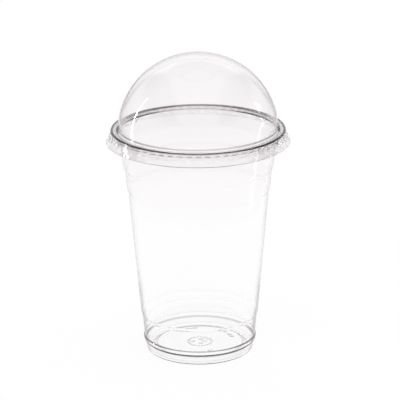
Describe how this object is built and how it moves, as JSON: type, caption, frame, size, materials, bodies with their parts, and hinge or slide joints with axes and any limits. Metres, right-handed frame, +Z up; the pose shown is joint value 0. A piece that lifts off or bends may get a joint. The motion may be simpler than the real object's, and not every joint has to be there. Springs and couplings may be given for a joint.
{
  "type": "plastic cup with lid",
  "caption": "Clear plastic drinks cup with tapered stepped wall, rolled rim and raised foot, closed by a round dome lid that lifts off.",
  "frame": {"origin": "centre of the foot, on the surface that the cup stands on", "axes": "+Z up along the cup's axis through the dome's top; X and Y are level"},
  "size_m": [0.1008, 0.1008, 0.1689],
  "materials": {
    "cup_plastic": "clear glossy thermoformed plastic",
    "lid_plastic": "clear glossy thermoformed plastic"
  },
  "bodies": {
    "cup_body": {"cup": "cup_plastic"},
    "lid_body": {"dome_lid": "lid_plastic"}
  },
  "joints": [
    {"name": "lid_lift", "type": "slide", "parent": "cup_body", "child": "lid_body", "axis": [0, 0, 1], "range_m": [0, 0.06]}
  ]
}
